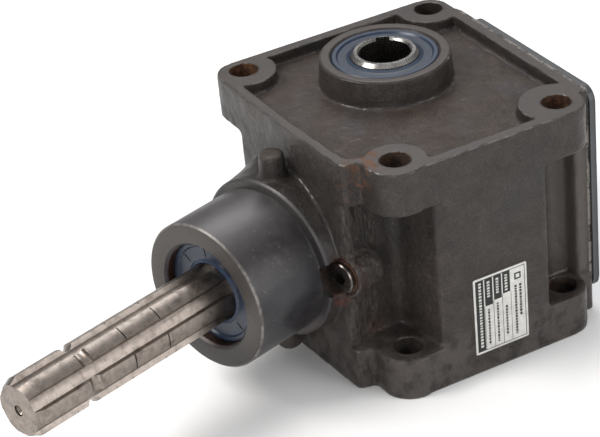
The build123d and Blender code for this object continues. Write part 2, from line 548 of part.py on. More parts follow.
# keyway through the bore
out -= Rot(0, 0, 63) * rect_slab(-4, 4, 0, OUT_BORE_R + 2.2, OUT_BOTTOM - 1, OUT_TOP + 1)
for s in (-1, 1):
    y0, y1 = sorted((s * (GEAR_BORE - 3.4), s * (GEAR_BORE + 2.4)))
    out -= DOWN * rect_slab(-5, 5, y0, y1, 22.0, 41.0)
keep("output_shaft", out)
keep("gear_spacer", rev([(OUT_SEAL_R, -47.8), (23.6, -47.8), (24.6, -46.8), (24.6, -42.0), (OUT_SEAL_R, -42.0)]))

for name, shape in OUT.items():
    export_step(shape, f"parts/{name}.step")
print(len(OUT), "nodes")
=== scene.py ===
import math

import bmesh
import bpy
import numpy as np
from mathutils import Matrix, Vector


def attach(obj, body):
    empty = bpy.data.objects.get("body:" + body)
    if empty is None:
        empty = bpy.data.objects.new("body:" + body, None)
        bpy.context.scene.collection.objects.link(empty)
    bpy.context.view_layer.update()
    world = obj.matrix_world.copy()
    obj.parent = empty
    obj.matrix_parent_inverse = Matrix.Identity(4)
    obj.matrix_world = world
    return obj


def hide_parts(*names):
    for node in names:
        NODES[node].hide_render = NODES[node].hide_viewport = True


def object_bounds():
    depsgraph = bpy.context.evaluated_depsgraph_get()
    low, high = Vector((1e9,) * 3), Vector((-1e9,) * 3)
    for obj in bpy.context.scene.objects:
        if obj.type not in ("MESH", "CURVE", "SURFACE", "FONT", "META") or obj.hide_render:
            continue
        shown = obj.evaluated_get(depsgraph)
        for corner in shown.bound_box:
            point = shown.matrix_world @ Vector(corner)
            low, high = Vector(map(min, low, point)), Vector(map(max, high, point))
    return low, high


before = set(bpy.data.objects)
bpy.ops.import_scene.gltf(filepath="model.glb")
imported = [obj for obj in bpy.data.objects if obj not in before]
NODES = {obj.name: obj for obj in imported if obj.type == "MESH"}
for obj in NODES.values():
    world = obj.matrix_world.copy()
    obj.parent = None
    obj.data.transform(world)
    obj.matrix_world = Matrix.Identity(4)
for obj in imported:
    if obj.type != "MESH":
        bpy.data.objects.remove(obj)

CAD_LO, CAD_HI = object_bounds()
MM = 0.001
HB = "housing_assembly"
IB = "input_shaft_assembly"
OB = "output_shaft_assembly"

# ------------------------------------------------------------------ sizes shared with the CAD part, in mm
YAW = math.radians(16.5)
S = Vector((math.sin(YAW), -math.cos(YAW), 0.0))
T = Vector((math.cos(YAW), math.sin(YAW), 0.0))
Z = Vector((0, 0, 1))
Sn, Tn = np.array(S), np.array(T)
Z_TOP, Z_BOT, Z_UP, Z_LOW, Z_PAN, Z_BOSS = 76.0, -70.0, 49.0, -44.4, 68.5, 85.6
X_FAR, X_LABEL, Y_FRONT, Y_REAR = -62.1, 111.8, -83.4, 74.8
EARS = ((-49.5, -67.0), (-49.5, 60.5), (96.0, 52.5), (96.0, -53.0))
HOLE_R = 8.6
SNOUT_R, SNOUT_FACE, COLLAR_END, GROOVE_END = 44.4, 157.7, 107.5, 110.0
IN_BORE = 31.0
LEVEL = (50.0, 1.5)
IN_MAT = Matrix((( T.x, 0.0, S.x, 0.0), (T.y, 0.0, S.y, 0.0), (T.z, 1.0, S.z, 0.0), (0, 0, 0, 1)))   # local x = T, y = +Z, z = S


# ------------------------------------------------------------------ node material helper
class Mat:
    def __init__(self, name):
        self.m = bpy.data.materials.new(name)
        self.m.use_nodes = True
        self.t = self.m.node_tree
        self.t.nodes.clear()
        self.out = self.t.nodes.new("ShaderNodeOutputMaterial")
        self.b = self.t.nodes.new("ShaderNodeBsdfPrincipled")
        self.t.links.new(self.b.outputs[0], self.out.inputs[0])
        tc = self.t.nodes.new("ShaderNodeTexCoord")
        self.obj = tc.outputs["Object"]
        self.nrm = tc.outputs["Normal"]
        self.pos = self.vm("SCALE", self.obj, scale=1000.0)
        self._xyz = None
        self._nz = None

    def put(self, node, i, v):
        s = node.inputs[i]
        if hasattr(v, "links") or isinstance(v, bpy.types.NodeSocket):
            self.t.links.new(v, s)
        elif s.type == "RGBA":
            s.default_value = (v[0], v[1], v[2], 1.0)
        else:
            s.default_value = v

    def set(self, **kw):
        names = dict(color="Base Color", rough="Roughness", metal="Metallic", normal="Normal", coat="Coat Weight",
                     coat_rough="Coat Roughness", spec="Specular IOR Level", ior="IOR", sheen="Sheen Weight", aniso="Anisotropic")
        for k, v in kw.items():
            self.put(self.b, names[k], v)
        return self

    def vm(self, op, a, b=None, scale=None):
        n = self.t.nodes.new("ShaderNodeVectorMath")
        n.operation = op
        self.put(n, 0, a)
        if b is not None:
            self.put(n, 1, b)
        if scale is not None:
            n.inputs["Scale"].default_value = scale
        return n.outputs["Value"] if op in ("DOT_PRODUCT", "LENGTH", "DISTANCE") else n.outputs[0]

    def ma(self, op, a, b=None, c=None, clamp=False):
        n = self.t.nodes.new("ShaderNodeMath")
        n.operation = op
        n.use_clamp = clamp
        self.put(n, 0, a)
        if b is not None:
            self.put(n, 1, b)
        if c is not None:
            self.put(n, 2, c)
        return n.outputs[0]

    def add(self, a, b): return self.ma("ADD", a, b)
    def sub(self, a, b): return self.ma("SUBTRACT", a, b)
    def mul(self, a, b): return self.ma("MULTIPLY", a, b)
    def mx(self, a, b): return self.ma("MAXIMUM", a, b)
    def mn(self, a, b): return self.ma("MINIMUM", a, b)
    def inv(self, a): return self.ma("SUBTRACT", 1.0, a)

    def xyz(self):
        if self._xyz is None:
            n = self.t.nodes.new("ShaderNodeSeparateXYZ")
            self.t.links.new(self.pos, n.inputs[0])
            self._xyz = n.outputs
        return self._xyz

    def nz(self):
        if self._nz is None:
            n = self.t.nodes.new("ShaderNodeSeparateXYZ")
            self.t.links.new(self.nrm, n.inputs[0])
            self._nz = n.outputs
        return self._nz

    def smooth(self, v, lo, hi):
        """0 below lo, 1 above hi."""
        n = self.t.nodes.new("ShaderNodeMapRange")
        n.interpolation_type = "SMOOTHSTEP"
        self.put(n, 0, v)
        if lo <= hi:
            n.inputs[1].default_value, n.inputs[2].default_value = lo, hi
            n.inputs[3].default_value, n.inputs[4].default_value = 0.0, 1.0
        else:
            n.inputs[1].default_value, n.inputs[2].default_value = hi, lo
            n.inputs[3].default_value, n.inputs[4].default_value = 1.0, 0.0
        return n.outputs[0]

    def band(self, v, lo, hi, soft=0.3):
        return self.mul(self.smooth(v, lo - soft, lo + soft), self.smooth(v, hi + soft, hi - soft))

    def noise(self, scale, detail=4.0, rough=0.55, vec=None, stretch=None, seed=0.0, kind="FBM"):
        v = self.pos if vec is None else vec
        if stretch is not None:
            v = self.vm("MULTIPLY", v, stretch)
        if seed:
            v = self.vm("ADD", v, (seed * 17.3, seed * 5.1, seed * 9.7))
        n = self.t.nodes.new("ShaderNodeTexNoise")
        n.noise_type = kind
        self.t.links.new(v, n.inputs["Vector"])
        n.inputs["Scale"].default_value = scale
        n.inputs["Detail"].default_value = detail
        n.inputs["Roughness"].default_value = rough
        return n.outputs[0]

    def voronoi(self, scale, feature="F1", vec=None):
        n = self.t.nodes.new("ShaderNodeTexVoronoi")
        n.feature = feature
        self.t.links.new(self.pos if vec is None else vec, n.inputs["Vector"])
        n.inputs["Scale"].default_value = scale
        return n.outputs[0]

    def ramp(self, fac, stops, interp="LINEAR"):
        n = self.t.nodes.new("ShaderNodeValToRGB")
        n.color_ramp.interpolation = interp
        e = n.color_ramp.elements
        while len(e) < len(stops):
            e.new(0.5)
        for k, (p, c) in enumerate(stops):
            e[k].position = p
            e[k].color = (c, c, c, 1) if isinstance(c, (int, float)) else (*c, 1)
        self.t.links.new(fac, n.inputs[0])
        return n.outputs[0]

    def mix(self, fac, a, b, mode="MIX"):
        n = self.t.nodes.new("ShaderNodeMix")
        n.data_type = "RGBA"
        n.blend_type = mode
        self.put(n, 0, fac)
        for i, v in ((6, a), (7, b)):
            if isinstance(v, bpy.types.NodeSocket):
                self.t.links.new(v, n.inputs[i])
            else:
                n.inputs[i].default_value = (v[0], v[1], v[2], 1)
        return n.outputs[2]

    def lerp(self, fac, a, b):
        n = self.t.nodes.new("ShaderNodeMix")
        n.data_type = "FLOAT"
        self.put(n, 0, fac)
        self.put(n, 2, a)
        self.put(n, 3, b)
        return n.outputs[0]

    def bump(self, height, dist, strength=1.0, normal=None):
        n = self.t.nodes.new("ShaderNodeBump")
        n.inputs["Strength"].default_value = strength
        n.inputs["Distance"].default_value = dist * MM
        self.t.links.new(height, n.inputs["Height"])
        if normal is not None:
            self.t.links.new(normal, n.inputs["Normal"])
        return n.outputs[0]

    def axis_polar(self, axis, origin=(0, 0, 0)):
        """(distance along axis, radius, angle vector) of a point, in mm, about an axis through origin."""
        p = self.vm("SUBTRACT", self.pos, origin)
        s = self.vm("DOT_PRODUCT", p, axis)
        n = self.t.nodes.new("ShaderNodeVectorMath")
        n.operation = "SCALE"
        n.inputs[0].default_value = axis
        self.t.links.new(s, n.inputs["Scale"])
        radial = self.vm("SUBTRACT", p, n.outputs[0])
        return s, self.vm("LENGTH", radial), radial

    def pointiness(self):
        n = self.t.nodes.new("ShaderNodeNewGeometry")
        return n.outputs["Pointiness"]


def rgb(r, g, b):
    """sRGB 0-255 to linear."""
    return tuple(((c / 255) / 12.92) if c <= 10 else (((c / 255) + 0.055) / 1.055) ** 2.4 for c in (r, g, b))


# ------------------------------------------------------------------ mesh helpers, in mm, written out in metres
def new_obj(name, verts, faces, mat, body=HB, smooth=True):
    me = bpy.data.meshes.new(name)
    me.from_pydata([tuple(float(c) * MM for c in v) for v in verts], [], [tuple(f) for f in faces])
    me.validate()
    me.update()
    o = bpy.data.objects.new(name, me)
    bpy.context.scene.collection.objects.link(o)
    me.materials.append(mat)
    me.polygons.foreach_set("use_smooth", [smooth] * len(me.polygons))
    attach(o, body)
    return o


def sharpen(o, deg=35):
    """Smooth shading with hard edges where faces meet at more than deg."""
    bm = bmesh.new()
    bm.from_mesh(o.data)
    for e in bm.edges:
        e.smooth = not (len(e.link_faces) == 2 and e.calc_face_angle(0.0) > math.radians(deg))
    for f in bm.faces:
        f.smooth = True
    bm.to_mesh(o.data)
    bm.free()


def lathe(profile, n=160, matrix=None, closed=True):
    """Vertices and faces of a profile of (r, z) turned about Z."""
    verts, faces = [], []
    m = len(profile)
    for k in range(n):
        a = 2 * math.pi * k / n
        for r, z in profile:
            p = Vector((r * math.cos(a), r * math.sin(a), z))
            verts.append(tuple(matrix @ p) if matrix else tuple(p))
    for k in range(n):
        j = (k + 1) % n
        for i in range(m if closed else m - 1):
            i2 = (i + 1) % m
            faces.append((k * m + i, j * m + i, j * m + i2, k * m + i2))
    return verts, faces


def round_profile(points, r=0.4, steps=3):
    """Rounds the corners of a closed (r, z) profile."""
    out = []
    n = len(points)
    for i in range(n):
        p = np.array(points[i][:2], float)
        rr = points[i][2] if len(points[i]) > 2 else r
        a = np.array(points[i - 1][:2], float) - p
        b = np.array(points[(i + 1) % n][:2], float) - p
        la, lb = np.linalg.norm(a), np.linalg.norm(b)
        d = min(rr, la * 0.45, lb * 0.45)
        if d <= 1e-4:
            out.append(tuple(p))
            continue
        p0, p1 = p + a / la * d, p + b / lb * d
        for k in range(steps + 1):
            t = k / steps
            q = (1 - t) ** 2 * p0 + 2 * t * (1 - t) * p + t * t * p1
            out.append((float(q[0]), float(q[1])))
    return out


def hashed(i, j, k, seed):
    h = (i * 374761393 + j * 668265263 + k * 974634777 + seed * 1274126177) & 0xFFFFFFFF
    h = ((h ^ (h >> 13)) * 1274126177) & 0xFFFFFFFF
    return ((h ^ (h >> 16)) & 0xFFFF) / 32767.5 - 1.0


def vnoise(p, size, seed):
    """Smooth value noise, -1 to 1, at numpy points p with cells of that size."""
    q = p / size
    f = np.floor(q).astype(np.int64)
    t = q - f
    t = t * t * (3 - 2 * t)
    out = 0
    for dx in (0, 1):
        wx = t[:, 0] if dx else 1 - t[:, 0]
        for dy in (0, 1):
            wy = t[:, 1] if dy else 1 - t[:, 1]
            for dz in (0, 1):
                wz = t[:, 2] if dz else 1 - t[:, 2]
                out = out + wx * wy * wz * hashed(f[:, 0] + dx, f[:, 1] + dy, f[:, 2] + dz, seed)
    return out


def sstep(x, lo, hi):
    t = np.clip((x - lo) / (hi - lo), 0, 1)
    return t * t * (3 - 2 * t)


# ------------------------------------------------------------------ materials
CAST_TONE = (0.535, 0.495, 0.475)


def ear_distance(m):
    """Distance in plan to the nearest bolt hole axis."""
    x, y, z = m.xyz()
    best = None
    for ex, ey in EARS:
        dx, dy = m.sub(x, ex), m.sub(y, ey)
        d = m.ma("SQRT", m.add(m.mul(dx, dx), m.mul(dy, dy)))
        best = d if best is None else m.mn(best, d)
    return best


def spot(m, point, radius, soft=None):
    """1 at a point, fading to 0 at radius."""
    d = m.vm("DISTANCE", m.pos, point)
    return m.smooth(d, radius, radius * 0.35 if soft is None else radius - soft)


def cast_iron(name, turned=False):
    m = Mat(name)
    x, y, z = m.xyz()
    nx, ny, nz = m.nz()
    big = m.noise(0.018, 5, 0.6)
    mid = m.noise(0.11, 6, 0.62, seed=1)
    fine = m.noise(0.75, 5, 0.65, seed=2)
    speck = m.noise(2.2, 3, 0.6, seed=3)
    # as-cast skin: dark grey-brown, oiled
    dark, body, light = rgb(44, 40, 38), rgb(70, 65, 62), rgb(98, 92, 87)
    c = m.ramp(m.add(m.mul(mid, 0.26), m.add(m.mul(fine, 0.40), m.mul(speck, 0.34))), [(0.39, dark), (0.50, body), (0.60, light)])
    c = m.mix(m.mul(m.smooth(big, 0.52, 0.72), 0.45), c, rgb(60, 61, 66))          # bluer oily patches
    c = m.mix(m.mul(m.smooth(speck, 0.58, 0.70), 0.55), c, rgb(134, 124, 115))      # pale specks
    c = m.mix(m.mul(m.smooth(m.noise(0.9, 4, 0.7, seed=7), 0.45, 0.35), 0.8), c, rgb(20, 17, 16))    # dark pores
    # tray floor: browner, with oil wash
    pan = m.mul(m.smooth(nz, 0.7, 0.95), m.mul(m.smooth(z, 60, 64), m.smooth(z, 73.5, 71)))
    pan_c = m.ramp(m.add(m.mul(mid, 0.24), m.add(m.mul(fine, 0.40), m.mul(speck, 0.36))), [(0.39, rgb(58, 49, 44)), (0.5, rgb(90, 79, 72)), (0.61, rgb(130, 118, 110))])
    pan_c = m.mix(m.mul(m.smooth(speck, 0.52, 0.62), 0.35), pan_c, rgb(150, 140, 130))
    pan_c = m.mix(m.mul(m.smooth(speck, 0.46, 0.38), 0.5), pan_c, rgb(38, 32, 29))
    pan_c = m.mix(m.mul(m.smooth(m.noise(0.045, 4, 0.6, seed=5), 0.50, 0.66), 0.55), pan_c, rgb(98, 99, 104))
    c = m.mix(m.mul(pan, 0.9), c, pan_c)
    # machined lands on the ears and rim
    land_t = m.mul(m.smooth(nz, 0.90, 0.985), m.smooth(z, 75.2, 75.7))
    land_b = m.mul(m.smooth(nz, -0.90, -0.985), m.smooth(z, -69.2, -69.7))
    land = m.mx(land_t, land_b)
    land_c = m.ramp(m.add(m.mul(mid, 0.30), m.mul(speck, 0.70)), [(0.40, rgb(60, 55, 53)), (0.5, rgb(82, 76, 73)), (0.60, rgb(104, 97, 93))])
    c = m.mix(m.mul(land, 0.85), c, land_c)
    # rough band on the front wall beside the plug
    streak = m.noise(0.55, 6, 0.7, stretch=(1.0, 1.0, 0.28), seed=4)
    front = m.mul(m.mul(m.band(x, 70, 86, 2), m.band(y, -80, -57, 2)), m.smooth(z, 62, 50))
    # painted shade: the front wall darkened from mid height up to below its top
    shade = m.mul(m.smooth(y, -60, -70), m.smooth(z, 70, 60))
    c = m.mix(m.mul(m.mul(shade, m.smooth(z, -30, -5)), 0.30), c, rgb(30, 27, 26))
    c = m.mix(m.mul(m.mul(front, m.smooth(streak, 0.46, 0.62)), 0.55), c, rgb(120, 113, 106))
    c = m.mix(m.mul(m.mul(front, m.smooth(streak, 0.47, 0.36)), 0.75), c, rgb(22, 20, 19))
    # painted shade: darker in concave recesses and creases, where pointiness is low
    occ = m.pointiness()
    c = m.mix(m.mul(m.smooth(occ, 0.485, 0.43), 0.5), c, rgb(20, 17, 16))
    # bolt holes: rusty bore
    d = ear_distance(m)
    hole = m.mul(m.smooth(d, 9.1, 8.75), m.smooth(m.ma("ABSOLUTE", nz), 0.8, 0.5))
    rust_n = m.noise(0.35, 6, 0.7, seed=9)
    rust_c = m.ramp(rust_n, [(0.32, rgb(46, 30, 22)), (0.5, rgb(104, 70, 46)), (0.66, rgb(156, 112, 74))])
    sx, sy, sz = m.smooth(x, -5, 5), m.smooth(y, -5, 5), m.smooth(z, 10, 40)
    front_far = m.mul(m.inv(sx), m.inv(sy))
    rear_label = m.mul(sx, sy)
    front_label = m.mul(sx, m.inv(sy))
    amount = m.add(m.add(front_far, m.mul(rear_label, 0.72)), m.mul(front_label, 0.30))
    amount = m.add(m.mul(amount, sz), 0.06)
    bare = m.ramp(m.add(m.mul(mid, 0.5), m.mul(fine, 0.5)), [(0.3, rgb(30, 26, 24)), (0.5, rgb(52, 46, 43)), (0.7, rgb(84, 76, 71))])
    c = m.mix(hole, c, m.mix(amount, bare, rust_c))
    # rust bleeding from ear edges and scratches
    r1 = m.mul(spot(m, (88, -66, 74), 17), m.smooth(m.noise(0.20, 5, 0.65, seed=11), 0.48, 0.60))
    r2 = m.mul(spot(m, (80, -70, 62), 16), m.smooth(m.noise(0.25, 5, 0.7, seed=12), 0.52, 0.64))
    r3 = m.mul(spot(m, (96, 52, -45), 15), m.smooth(m.noise(0.25, 5, 0.7, seed=13), 0.50, 0.62))
    r4 = m.mul(spot(m, (74, -60, -40), 9), m.smooth(m.noise(0.4, 5, 0.7, seed=14), 0.50, 0.60))
    r5 = m.mul(spot(m, (111, -34, -6), 22), m.smooth(m.noise(0.5, 6, 0.75, seed=15), 0.60, 0.68))
    rust = m.mx(m.mx(m.mx(r1, r2), m.mx(r3, r4)), m.mul(r5, 0.8))
    c = m.mix(m.mul(rust, 0.8), c, m.ramp(rust_n, [(0.3, rgb(96, 62, 42)), (0.7, rgb(158, 112, 80))]))
    # brown sealant round the level plug
    pl = tuple(LEVEL[0] * T[i] + 98.5 * S[i] + (LEVEL[1] if i == 2 else 0) for i in range(3))
    ring = m.mul(spot(m, pl, 17, 4), m.smooth(m.noise(0.3, 5, 0.7, seed=16), 0.38, 0.56))
    c = m.mix(m.mul(ring, 0.55), c, rgb(74, 48, 40))
    c = m.mix(m.mul(m.mul(spot(m, (pl[0] - 2, pl[1] - 1, pl[2] - 15), 8), m.smooth(rust_n, 0.42, 0.55)), 0.75), c, rgb(118, 68, 58))
    # gloss: oiled casting, wetter in patches, drier and rougher on the lands
    wet = m.smooth(m.noise(0.04, 4, 0.6, seed=18), 0.45, 0.62)
    rough = m.lerp(wet, 0.46, 0.33)
    rough = m.add(rough, m.mul(m.sub(fine, 0.5), 0.35))
    rough = m.lerp(land, rough, m.add(0.46, m.mul(m.sub(mid, 0.5), 0.4)))
    rough = m.lerp(m.mx(rust, hole), rough, 0.75)
    rough = m.lerp(m.smooth(occ, 0.52, 0.58), rough, 0.24)
    rough = m.lerp(m.mul(m.smooth(occ, 0.487, 0.45), m.smooth(fine, 0.42, 0.52)), rough, 0.14)
    # relief
    h = m.add(m.mul(fine, 0.55), m.mul(m.noise(0.30, 5, 0.6, seed=20), 1.1))
    h = m.add(h, m.mul(speck, 0.18))
    h = m.add(h, m.mul(m.mul(front, streak), 1.6))
    h = m.mul(h, m.lerp(land, 1.0, 0.10))
    h = m.add(h, m.mul(m.smooth(speck, 0.50, 0.66), m.lerp(land, 0.35, 0.02)))
    n = m.bump(h, 0.80, 0.9)
    wet_edge = m.mul(m.mx(m.smooth(occ, 0.49, 0.455), m.smooth(occ, 0.52, 0.56)), m.smooth(m.noise(0.16, 4, 0.6, seed=31), 0.42, 0.54))
    c = m.mix(1.0, c, CAST_TONE, "MULTIPLY")
    # painted light: the inner corner of the rear bolt pocket lifted against its shade, and the low parts lightened
    # as if lit from below
    corner = m.mul(m.mul(m.band(y, 52, 72, 3), m.band(x, 82, 96, 1.5)), m.band(z, -42, 48, 2))
    c = m.mix(m.mul(corner, 0.55), c, rgb(96, 90, 85))
    # painted light on the low parts, patchy with noise
    c = m.mix(m.mul(m.smooth(z, -34, -48), m.mul(0.32, m.smooth(mid, 0.40, 0.55))), c, rgb(92, 86, 82))
    # convex edges lightened, partly wear and partly a painted highlight, and painted glints along the root corners
    breaks = m.smooth(m.noise(0.13, 5, 0.65, seed=33), 0.44, 0.54)
    c = m.mix(m.mul(m.mul(m.smooth(occ, 0.53, 0.58), breaks), 0.60), c, rgb(140, 134, 127))
    # painted glints: pale flecks along the concave root corners on the upper parts
    glint = m.mul(m.mul(m.smooth(occ, 0.482, 0.455), m.smooth(m.noise(0.9, 4, 0.7, seed=35), 0.53, 0.60)), breaks)
    c = m.mix(m.mul(m.mul(glint, m.smooth(z, 40, 62)), 0.75), c, rgb(176, 173, 169))
    m.set(color=c, rough=m.ma("MAXIMUM", rough, 0.12), metal=0.12, normal=n, coat=m.lerp(wet_edge, 0.10, 0.95), coat_rough=0.14, spec=0.36)
    return m.m


def turned_iron(name):
    """Machined snout and boss ring: smooth dark metal with fine lathe lines, an oil stain and handling marks, with
    painted light on its underside and top and painted highlights on its edges.
    """
    m = Mat(name)
    s, r, rad = m.axis_polar(tuple(S))
    x, y, z = m.xyz()
    lines = m.noise(1.0, 2, 0.5, vec=m.vm("MULTIPLY", m.combine(s, 0.0, 0.0), (3.2, 1, 1)))
    lines_r = m.noise(1.0, 2, 0.5, vec=m.vm("MULTIPLY", m.combine(r, 5.0, 0.0), (3.0, 1, 1)))
    blot = m.noise(0.03, 5, 0.6, seed=2)
    mid = m.noise(0.16, 6, 0.6, seed=3)
    fine = m.noise(1.3, 4, 0.6, seed=4)
    face = m.smooth(s, SNOUT_FACE - 0.35, SNOUT_FACE - 0.1)
    c = m.ramp(m.add(m.mul(blot, 0.6), m.mul(mid, 0.4)), [(0.32, rgb(38, 37, 39)), (0.5, rgb(54, 52, 53)), (0.68, rgb(78, 75, 74))])
    c = m.mix(m.mul(m.smooth(lines, 0.45, 0.7), 0.25), c, rgb(84, 81, 80))
    # painted light: the underside lightened as if lit from below
    low = m.smooth(z, -22, -32)
    c = m.mix(m.mul(low, 0.55), c, rgb(100, 94, 93))
    # painted highlight along the top
    c = m.mix(m.mul(m.smooth(z, 30, 42), 0.45), c, rgb(96, 93, 93))
    # oil stain with an irregular lower edge
    edge = m.add(z, m.mul(m.sub(mid, 0.5), 26))
    stain = m.mul(m.band(s, 112, 152, 5), m.mul(m.smooth(edge, -34, -24), m.smooth(z, 26, 6)))
    c = m.mix(m.mul(stain, 0.55), c, rgb(36, 36, 42))
    c = m.mix(m.mul(m.smooth(m.noise(0.5, 5, 0.7, seed=8), 0.64, 0.70), 0.45), c, rgb(150, 144, 138))
    fc = m.ramp(m.add(m.mul(lines_r, 0.5), m.mul(fine, 0.5)), [(0.3, rgb(52, 48, 47)), (0.5, rgb(68, 64, 61)), (0.7, rgb(88, 83, 79))])
    fc = m.mix(m.mul(m.smooth(z, 0, -30), 0.5), fc, rgb(42, 40, 41))
    c = m.mix(face, c, fc)
    inside = m.mul(m.smooth(r, 31.6, 31.2), m.smooth(s, SNOUT_FACE - 0.4, SNOUT_FACE - 1.2))
    c = m.mix(inside, c, m.ramp(m.noise(0.3, 5, 0.7, seed=10), [(0.3, rgb(30, 20, 16)), (0.7, rgb(74, 48, 34))]))
    # painted highlight along the face chamfer and the groove edge, broken up by noise
    edge_highlight = m.mx(m.band(s, SNOUT_FACE - 1.5, SNOUT_FACE - 0.25, 0.12), m.mul(m.band(s, GROOVE_END - 0.7, GROOVE_END + 0.25, 0.15), 0.6))
    edge_highlight = m.mul(edge_highlight, m.smooth(r, 36, 38))
    edge_highlight = m.mul(edge_highlight, m.lerp(m.smooth(mid, 0.40, 0.60), 0.25, 1.0))
    c = m.mix(m.mul(edge_highlight, 0.45), c, rgb(150, 144, 138))
    c = m.mix(m.mul(m.mul(m.smooth(s, 108.6, 107.4), m.smooth(fine, 0.3, 0.6)), 0.5), c, rgb(40, 36, 34))
    rough = m.add(m.lerp(stain, 0.44, 0.30), m.mul(m.sub(mid, 0.5), 0.18))
    rough = m.lerp(face, rough, 0.48)
    h = m.add(m.mul(lines, 0.5), m.mul(fine, 0.35))
    h = m.lerp(face, h, m.add(m.mul(lines_r, 0.6), m.mul(fine, 0.4)))
    m.set(color=c, rough=rough, metal=0.45, normal=m.bump(h, 0.05, 0.6), coat=0.06, coat_rough=0.2, spec=0.4)
    return m.m


def combine(self, x, y, z):
    n = self.t.nodes.new("ShaderNodeCombineXYZ")
    for i, v in enumerate((x, y, z)):
        self.put(n, i, v)
    return n.outputs[0]


Mat.combine = combine


def steel(name, axis, base=(0.60, 0.55, 0.49), rough=0.30, line=2.4, dirt=0.5, dirt_c=(0.10, 0.075, 0.055), metal=1.0, scribes=()):
    """Bright turned or milled steel with lines round its axis, scratches and oil dirt, and painted shade in its
    creases.
    """
    m = Mat(name)
    s, r, rad = m.axis_polar(tuple(axis))
    lines = m.noise(1.0, 3, 0.6, vec=m.vm("MULTIPLY", m.combine(s, r, 0.0), (line, line * 0.6, 1)))
    along = m.noise(0.9, 5, 0.6, vec=m.vm("MULTIPLY", m.combine(m.mul(s, 0.05), m.vm("DOT_PRODUCT", m.pos, (0, 0, 1)), m.vm("DOT_PRODUCT", m.pos, tuple(T))), (1, 1, 1)))
    mid = m.noise(0.22, 6, 0.62, seed=2)
    fine = m.noise(1.6, 4, 0.65, seed=3)
    d = tuple(b * 0.42 for b in base)
    l = tuple(min(1, b * 1.4) for b in base)
    c = m.ramp(m.add(m.mul(mid, 0.5), m.mul(m.add(m.mul(lines, 0.5), m.mul(fine, 0.5)), 0.5)), [(0.32, d), (0.50, base), (0.70, l)])
    c = m.mix(m.mul(m.smooth(m.noise(0.09, 5, 0.65, seed=5), 0.52, 0.70), dirt), c, dirt_c)
    c = m.mix(m.mul(m.smooth(along, 0.60, 0.70), 0.25), c, dirt_c)
    # painted shade: darker in concave creases, where pointiness is low
    occ = m.pointiness()
    c = m.mix(m.mul(m.smooth(occ, 0.48, 0.40), 0.75), c, (0.02, 0.016, 0.012))
    for q in scribes:
        c = m.mix(m.mul(m.mul(m.band(s, q - 0.42, q + 0.42, 0.12), m.smooth(r, 16.6, 17.0)), 0.92), c, (0.012, 0.010, 0.009))
    rr = m.add(rough, m.mul(m.sub(fine, 0.5), 0.30))
    m.set(color=c, rough=m.ma("MAXIMUM", rr, 0.08), metal=metal, normal=m.bump(m.add(m.mul(lines, 0.6), m.mul(fine, 0.6)), 0.05, 0.7))
    return m.m


def rubber_blue(name, axis, tone=1.0):
    m = Mat(name)
    s, r, rad = m.axis_polar(tuple(axis))
    mid = m.noise(0.20, 6, 0.65, seed=1)
    fine = m.noise(1.1, 5, 0.65, seed=2)
    rings = m.noise(1.0, 1, 0.5, vec=m.combine(m.mul(r, 1.3), 0.0, 0.0))
    c = m.ramp(m.add(m.mul(mid, 0.6), m.mul(fine, 0.4)), [(0.30, rgb(18, 34, 56)), (0.48, rgb(34, 64, 102)), (0.60, rgb(52, 84, 122)), (0.75, rgb(96, 116, 142))])
    c = m.mix(m.mul(m.smooth(rings, 0.5, 0.65), 0.25), c, rgb(24, 40, 66))
    c = m.mix(m.mul(m.smooth(fine, 0.62, 0.72), 0.35), c, rgb(134, 140, 146))
    # painted shade: darker in concave creases, where pointiness is low
    occ = m.pointiness()
    c = m.mix(m.mul(m.smooth(occ, 0.49, 0.44), 0.7), c, rgb(12, 14, 20))
    c = m.mix(1.0, c, (tone,) * 3, "MULTIPLY")
    m.set(color=c, rough=m.add(0.28, m.mul(fine, 0.22)), normal=m.bump(m.add(mid, m.mul(fine, 0.6)), 0.12, 0.7), coat=0.15, coat_rough=0.18, spec=0.45)
    return m.m


def painted_plate(name):
    m = Mat(name)
    mid = m.noise(0.10, 6, 0.6, seed=1)
    fine = m.noise(0.9, 5, 0.65, seed=2)
    big = m.noise(0.02, 4, 0.6, seed=3)
    c = m.ramp(m.add(m.mul(mid, 0.55), m.mul(fine, 0.45)), [(0.30, rgb(24, 27, 31)), (0.5, rgb(38, 43, 48)), (0.7, rgb(58, 63, 69))])
    c = m.mix(m.mul(m.smooth(big, 0.5, 0.66), 0.4), c, rgb(36, 35, 35))
    c = m.mix(m.mul(m.smooth(m.noise(0.5, 6, 0.7, seed=6), 0.63, 0.70), 0.5), c, rgb(80, 62, 48))
    occ = m.pointiness()
    c = m.mix(m.mul(m.smooth(occ, 0.52, 0.58), 0.4), c, rgb(96, 97, 98))
    m.set(color=c, rough=m.add(0.42, m.mul(m.sub(fine, 0.5), 0.3)), metal=0.1, normal=m.bump(m.add(m.mul(mid, 0.8), m.mul(fine, 0.5)), 0.25, 0.7), coat=0.08, coat_rough=0.25, spec=0.35)
    return m.m


def simple(name, stops, rough, metal=0.0, bump=0.08, scale=1.0, coat=0.0, fleck=None):
    m = Mat(name)
    mid = m.noise(0.18 * scale, 6, 0.62, seed=1)
    fine = m.noise(1.2 * scale, 5, 0.65, seed=2)
    c = m.ramp(m.add(m.mul(mid, 0.5), m.mul(fine, 0.5)), [(0.30, stops[0]), (0.5, stops[1]), (0.7, stops[2])])
    if fleck:
        c = m.mix(m.mul(m.smooth(m.noise(0.45 * scale, 5, 0.7, seed=5), 0.60, 0.70), 0.6), c, fleck)
    # painted shade: darker in concave creases, where pointiness is low
    occ = m.pointiness()
    c = m.mix(m.mul(m.smooth(occ, 0.485, 0.43), 0.6), c, tuple(v * 0.3 for v in stops[0]))
    m.set(color=c, rough=m.add(rough, m.mul(m.sub(fine, 0.5), 0.25)), metal=metal, normal=m.bump(m.add(m.mul(mid, 0.6), m.mul(fine, 0.6)), bump, 0.7), coat=coat, coat_rough=0.2)
    return m.m


